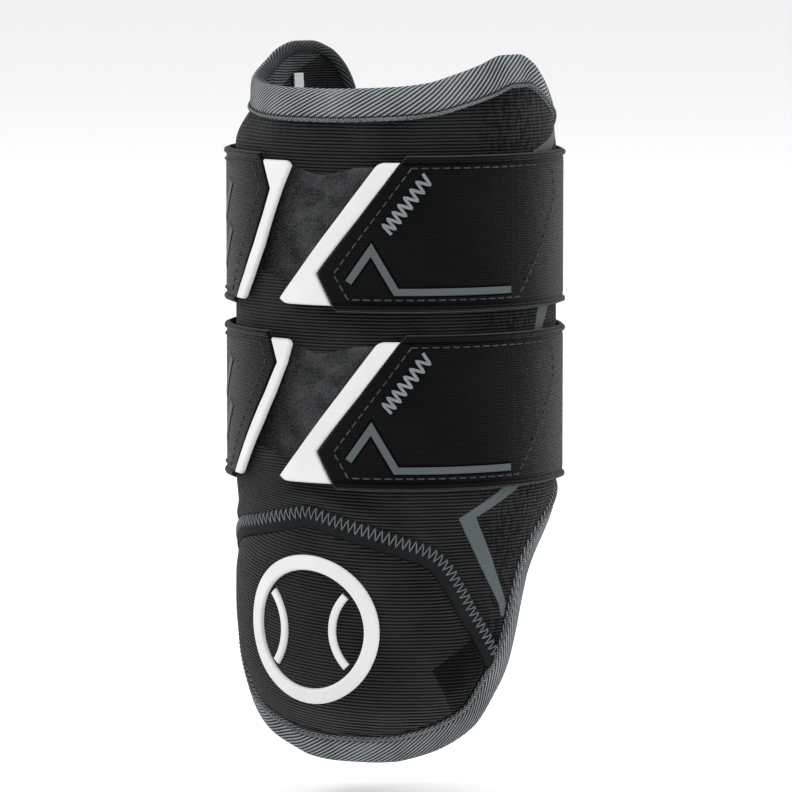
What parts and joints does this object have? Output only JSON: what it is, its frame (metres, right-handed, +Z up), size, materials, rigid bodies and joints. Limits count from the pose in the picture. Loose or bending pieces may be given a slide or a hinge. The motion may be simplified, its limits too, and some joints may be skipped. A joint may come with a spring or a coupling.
{
  "type": "baseball elbow guard",
  "caption": "Padded C-shaped sleeve with a domed elbow pad, a folded edge binding and two wide elastic straps that close on loop patches at the front.",
  "frame": {"origin": "on the axis of the arm, near the middle between the two straps", "axes": "+Z up the arm from the elbow to the shoulder, -Y out of the front with the elbow pad, +X to the viewer's right of the front"},
  "size_m": [0.1136, 0.107, 0.2354],
  "materials": {
    "knit_black": "ribbed knit",
    "web_black": "elastic webbing",
    "loop_black": "brushed loop",
    "tape_grey": "twill tape",
    "film_grey": "matte film",
    "rubber_white": "satin",
    "label_white": "plain weave"
  },
  "bodies": {
    "root": {"sleeve_shell": "knit_black", "elbow_pad": "knit_black", "seam_border": "knit_black", "rim_binding": "tape_grey", "hem_binding": "tape_grey", "left_wing_binding": "tape_grey", "right_wing_binding": "tape_grey", "upper_loop_patch": "loop_black", "lower_loop_patch": "loop_black", "upper_right_hook": "loop_black", "upper_left_hook": "loop_black", "lower_right_hook": "loop_black", "lower_left_hook": "loop_black", "upper_strap": "web_black", "lower_strap": "web_black", "upper_right_tip": "rubber_white", "upper_left_tip": "rubber_white", "lower_right_tip": "rubber_white", "lower_left_tip": "rubber_white", "upper_strap_stripe": "film_grey", "lower_strap_stripe": "film_grey", "upper_strap_bar_upper": "film_grey", "upper_strap_bar_lower": "film_grey", "lower_strap_bar_upper": "film_grey", "lower_strap_bar_lower": "film_grey", "flank_stripe": "film_grey", "flank_patch_middle": "film_grey", "flank_patch_top": "film_grey", "emblem_ring": "rubber_white", "emblem_seam_left": "rubber_white", "emblem_seam_right": "rubber_white", "inner_label": "label_white"}
  },
  "joints": []
}
